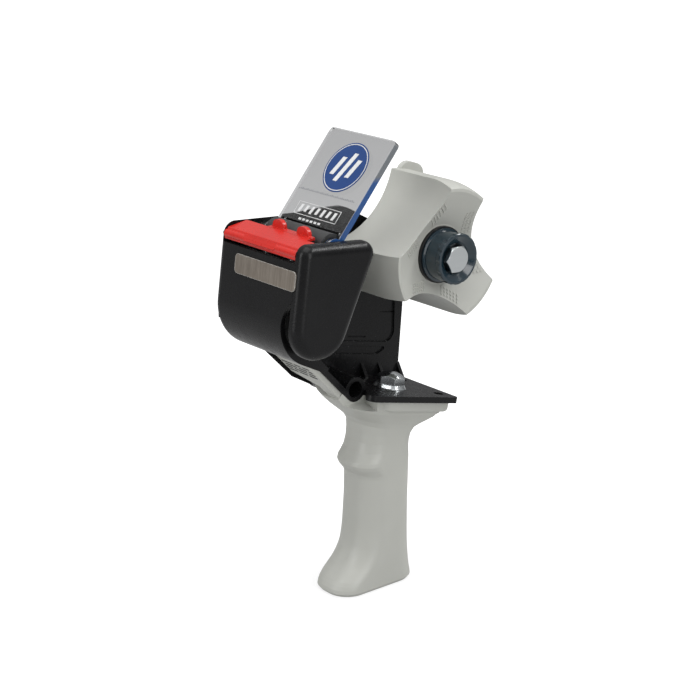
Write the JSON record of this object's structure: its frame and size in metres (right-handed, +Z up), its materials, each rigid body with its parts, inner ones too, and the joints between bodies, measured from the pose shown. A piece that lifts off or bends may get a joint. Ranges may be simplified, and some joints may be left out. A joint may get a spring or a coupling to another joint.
{
  "type": "tape dispenser",
  "caption": "Pistol-grip packing-tape gun: moulded grip and side frame, three-lobed core hub with brake knob, rollers, toothed blade, hinged red guard and clear tape flap.",
  "frame": {"origin": "middle of the grip's foot, on the surface it stands on", "axes": "+Z up the grip, -Y towards the roller head, X along the tape hub's axis with the brake knob at +X"},
  "size_m": [0.0752, 0.1407, 0.2446],
  "materials": {
    "black_plastic": "black glass-filled plastic with a fine moulded grain",
    "grey_plastic": "warm light grey moulded plastic, satin",
    "zinc_steel": "bright zinc-plated steel",
    "bright_steel": "ground steel",
    "blade_steel": "spring steel, toothed edge",
    "plate_metal": "brushed warm silver plate, blank",
    "black_nylon": "black nylon",
    "roller_rubber": "dark grey rubber",
    "red_plastic": "bright red moulded plastic",
    "clear_plastic": "clear polycarbonate",
    "badge_blue": "printed blue roundel, plain pattern",
    "knob_teal": "dark teal gloss plastic",
    "fibre": "pressed fibre"
  },
  "bodies": {
    "frame": {"frame": "black_plastic", "handle": "grey_plastic", "foot_cap": "grey_plastic", "grip_bolt": "zinc_steel", "flange_nut": "zinc_steel", "head_cover": "black_plastic", "name_plate": "plate_metal", "cover_screws": "zinc_steel", "roller_shaft": "bright_steel", "feed_shaft": "bright_steel", "shaft_clips": "zinc_steel", "blade": "blade_steel", "blade_holder": "black_plastic", "blade_screws": "zinc_steel", "guard_pin": "bright_steel", "guard_spring": "bright_steel", "flap_spring": "bright_steel", "hub_axle": "zinc_steel", "axle_washers": "zinc_steel", "axle_nut": "zinc_steel", "hub_spacer": "black_nylon"},
    "roller": {"roller_core": "black_nylon", "roller_tyre": "roller_rubber"},
    "feed_roller": {"feed_core": "black_nylon", "feed_tyre": "roller_rubber"},
    "guard": {"blade_guard": "red_plastic"},
    "flap": {"tape_flap": "clear_plastic", "flap_badge": "badge_blue"},
    "hub": {"tape_hub": "grey_plastic", "friction_disc": "fibre"},
    "knob": {"brake_knob": "knob_teal", "knob_collar": "black_nylon", "brake_spring": "bright_steel"}
  },
  "joints": [
    {"name": "hub_spin", "type": "hinge", "parent": "frame", "child": "hub", "pos_m": [0, 0.029, 0.18], "axis": [1, 0, 0], "continuous": true},
    {"name": "knob_turn", "type": "hinge", "parent": "frame", "child": "knob", "pos_m": [0, 0.029, 0.18], "axis": [1, 0, 0], "range_deg": [-180, 180]},
    {"name": "roller_spin", "type": "hinge", "parent": "frame", "child": "roller", "pos_m": [0, -0.0501, 0.1977], "axis": [1, 0, 0], "continuous": true},
    {"name": "feed_spin", "type": "hinge", "parent": "frame", "child": "feed_roller", "pos_m": [0, -0.056, 0.163], "axis": [1, 0, 0], "continuous": true},
    {"name": "guard_flip", "type": "hinge", "parent": "frame", "child": "guard", "pos_m": [0, -0.0729, 0.1986], "axis": [1, 0, 0], "range_deg": [0, 105], "stiffness_Nm_per_rad": 0.004, "springref_deg": -34.38},
    {"name": "flap_swing", "type": "hinge", "parent": "frame", "child": "flap", "pos_m": [0, -0.0501, 0.1977], "axis": [1, 0, 0], "range_deg": [0, 48], "stiffness_Nm_per_rad": 0.02, "springref_deg": -34.38}
  ]
}
